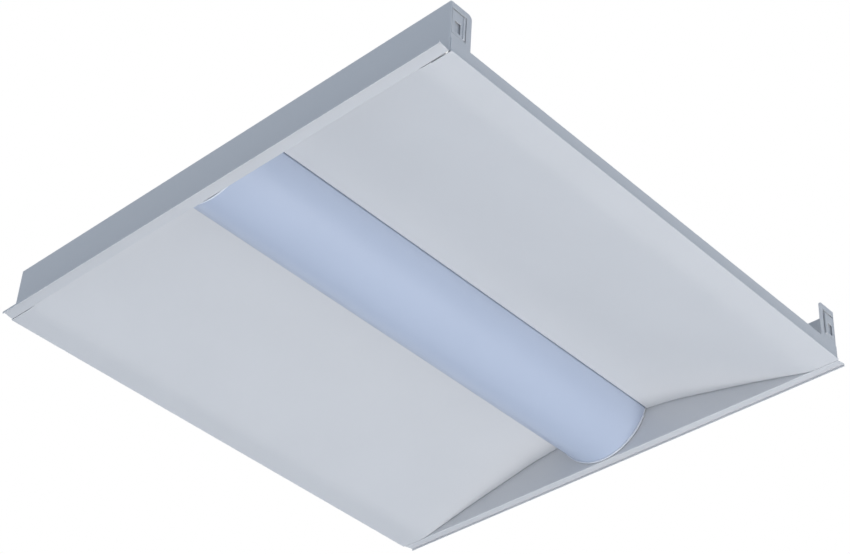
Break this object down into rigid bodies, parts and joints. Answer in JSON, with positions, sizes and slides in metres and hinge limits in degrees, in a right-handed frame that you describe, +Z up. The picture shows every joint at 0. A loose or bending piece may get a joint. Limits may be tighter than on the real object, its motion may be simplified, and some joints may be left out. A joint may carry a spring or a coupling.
{
  "type": "recessed troffer light",
  "caption": "Square recessed ceiling troffer with curved side wings, a half-round centre diffuser, end plates with fold-out grid clips and a hinged driver cover on top.",
  "frame": {"origin": "centre of the square outline, at the underside of the flanges that lie on the ceiling grid", "axes": "+Z up into the ceiling void, +Y along the lens, +X across it towards the driver side"},
  "size_m": [0.603, 0.603, 0.0603],
  "materials": {
    "painted_steel": "satin powder coat",
    "plated_steel": "bright zinc sheet with a fine grain",
    "diffuser": "frosted diffuser",
    "cap_plastic": "smooth moulded plastic",
    "spring_steel": "bright spring strip",
    "zinc_screw": "bright zinc",
    "board_white": "white solder mask",
    "diode": "yellow phosphor",
    "white_plastic": "smooth moulded plastic",
    "orange_plastic": "smooth moulded plastic",
    "driver_paint": "satin paint",
    "grey_plastic": "smooth moulded plastic",
    "black_plastic": "smooth moulded plastic",
    "green_screw": "green paint",
    "black_insulation": "smooth insulation",
    "white_insulation": "smooth insulation",
    "green_insulation": "smooth insulation",
    "red_insulation": "smooth insulation",
    "blue_insulation": "smooth insulation"
  },
  "bodies": {
    "housing": {"wing_left": "painted_steel", "wing_right": "painted_steel", "end_plate_near": "painted_steel", "end_plate_far": "painted_steel", "spine_channel": "plated_steel", "lens_springs_left": "spring_steel", "lens_springs_right": "spring_steel", "spring_rivets": "zinc_screw", "light_board_left_near": "board_white", "light_board_left_far": "board_white", "light_board_right_near": "board_white", "light_board_right_far": "board_white", "diodes_left": "diode", "diodes_right": "diode", "board_connectors": "white_plastic", "board_screws": "zinc_screw", "driver_tray": "plated_steel", "driver_base": "driver_paint", "driver_case": "driver_paint", "input_terminal": "grey_plastic", "output_terminal": "grey_plastic", "driver_screws": "zinc_screw", "hinge_pins": "zinc_screw", "wiring_box": "plated_steel", "box_screws": "zinc_screw", "knockout_slug": "plated_steel", "wire_bushing": "black_plastic", "disconnect_socket": "white_plastic", "disconnect_plug": "orange_plastic", "ground_ring": "zinc_screw", "ground_screw": "green_screw", "lead_black": "black_insulation", "lead_white": "white_insulation", "lead_green": "green_insulation", "lead_red": "red_insulation", "lead_blue": "blue_insulation", "lead_jumpers": "white_insulation"},
    "lens_unit": {"lens": "diffuser", "lens_cap_far": "cap_plastic", "lens_cap_near": "cap_plastic"},
    "cover": {"driver_cover": "plated_steel", "cover_screws": "zinc_screw"},
    "clip_far_right": {"clip_far_right": "painted_steel"},
    "clip_far_left": {"clip_far_left": "painted_steel"},
    "clip_near_right": {"clip_near_right": "painted_steel"},
    "clip_near_left": {"clip_near_left": "painted_steel"}
  },
  "joints": [
    {"name": "lens_release", "type": "slide", "parent": "housing", "child": "lens_unit", "axis": [0, 0, -1], "range_m": [0, 0.12]},
    {"name": "cover_swing", "type": "hinge", "parent": "housing", "child": "cover", "pos_m": [0.2061, -0.0575, 0.0376], "axis": [0, 1, 0], "range_deg": [0, 110]},
    {"name": "clip_far_right_bend", "type": "hinge", "parent": "housing", "child": "clip_far_right", "pos_m": [0.2991, 0.28665, 0.03765], "axis": [0, 0, 1], "range_deg": [0, 90]},
    {"name": "clip_far_left_bend", "type": "hinge", "parent": "housing", "child": "clip_far_left", "pos_m": [-0.2991, 0.28665, 0.03765], "axis": [0, 0, -1], "range_deg": [0, 90]},
    {"name": "clip_near_right_bend", "type": "hinge", "parent": "housing", "child": "clip_near_right", "pos_m": [0.2991, -0.28665, 0.03765], "axis": [0, 0, -1], "range_deg": [0, 90]},
    {"name": "clip_near_left_bend", "type": "hinge", "parent": "housing", "child": "clip_near_left", "pos_m": [-0.2991, -0.28665, 0.03765], "axis": [0, 0, 1], "range_deg": [0, 90]}
  ]
}
